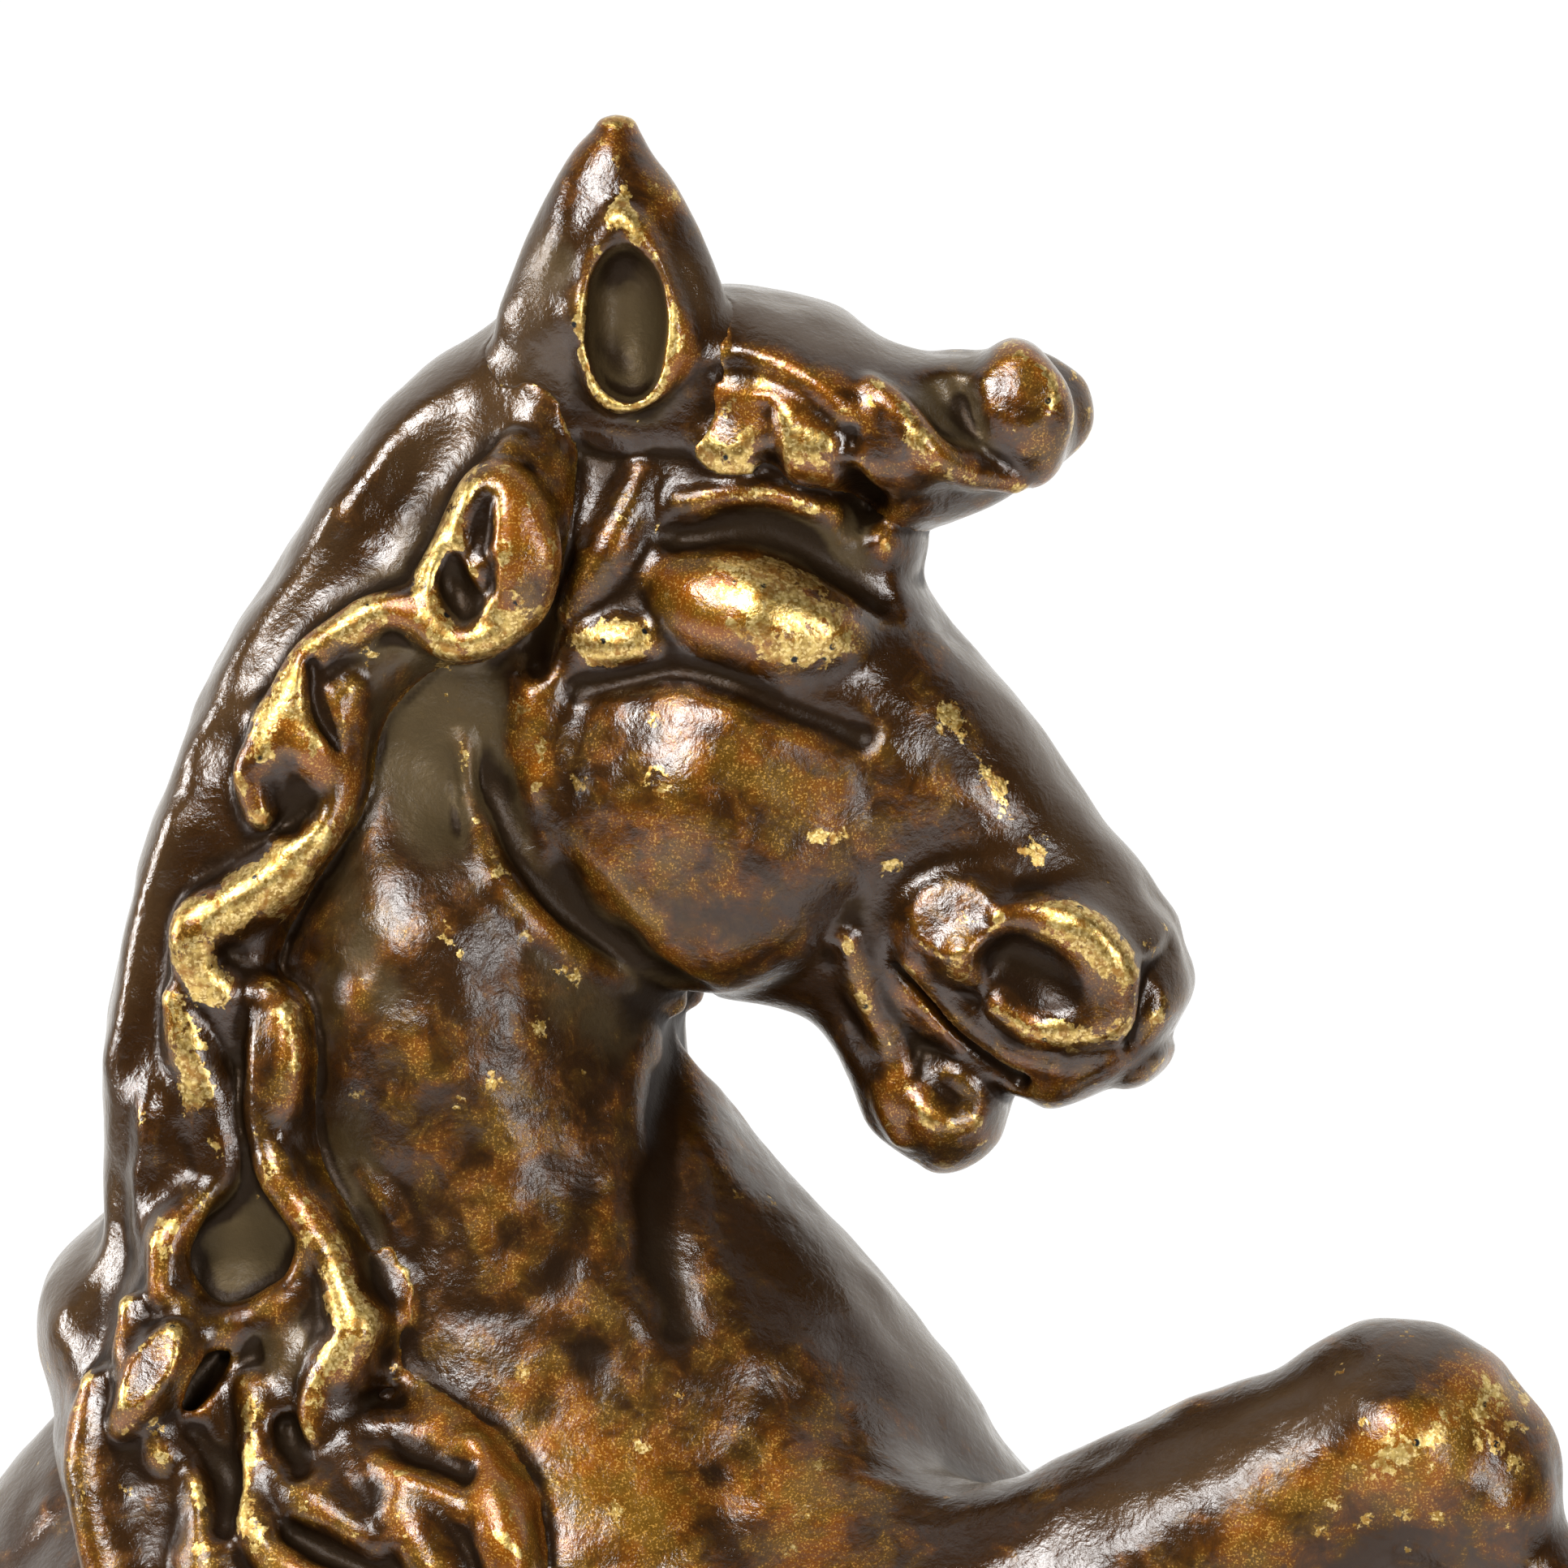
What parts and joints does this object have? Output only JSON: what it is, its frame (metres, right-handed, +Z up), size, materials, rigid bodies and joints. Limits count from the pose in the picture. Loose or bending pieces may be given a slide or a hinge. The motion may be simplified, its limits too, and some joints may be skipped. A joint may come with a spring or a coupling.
{
  "type": "horse statuette",
  "caption": "Rearing horse statuette in patinated bronze, cast in sections and pinned together, on an oval ground casting and a felted stone plinth.",
  "frame": {"origin": "middle of the felt pad's underside, on the surface that the statuette stands on", "axes": "+Z up, +X the way the horse faces, +Y its left side"},
  "size_m": [0.1067, 0.05, 0.1414],
  "materials": {
    "bronze_patina": "dark brown patina with rubbed golden ridges under gloss lacquer",
    "dowel_brass": "bare brass rod",
    "plinth_stone": "polished dark marble",
    "base_felt": "wool felt",
    "fixing_steel": "zinc plated steel"
  },
  "bodies": {
    "root": {"body_casting": "bronze_patina", "head_and_neck_casting": "bronze_patina", "mane_casting": "bronze_patina", "forelock_casting": "bronze_patina", "tail_casting": "bronze_patina", "right_foreleg_casting": "bronze_patina", "left_foreleg_casting": "bronze_patina", "right_hind_leg_casting": "bronze_patina", "left_hind_leg_casting": "bronze_patina", "ground_casting": "bronze_patina", "neck_dowels": "dowel_brass", "foreleg_dowels": "dowel_brass", "hind_leg_dowels": "dowel_brass", "tail_dowel": "dowel_brass", "mane_pins": "dowel_brass", "forelock_pin": "dowel_brass", "stone_plinth": "plinth_stone", "felt_pad": "base_felt", "hold_down_studs": "fixing_steel", "washers": "fixing_steel", "nuts": "fixing_steel"}
  },
  "joints": []
}
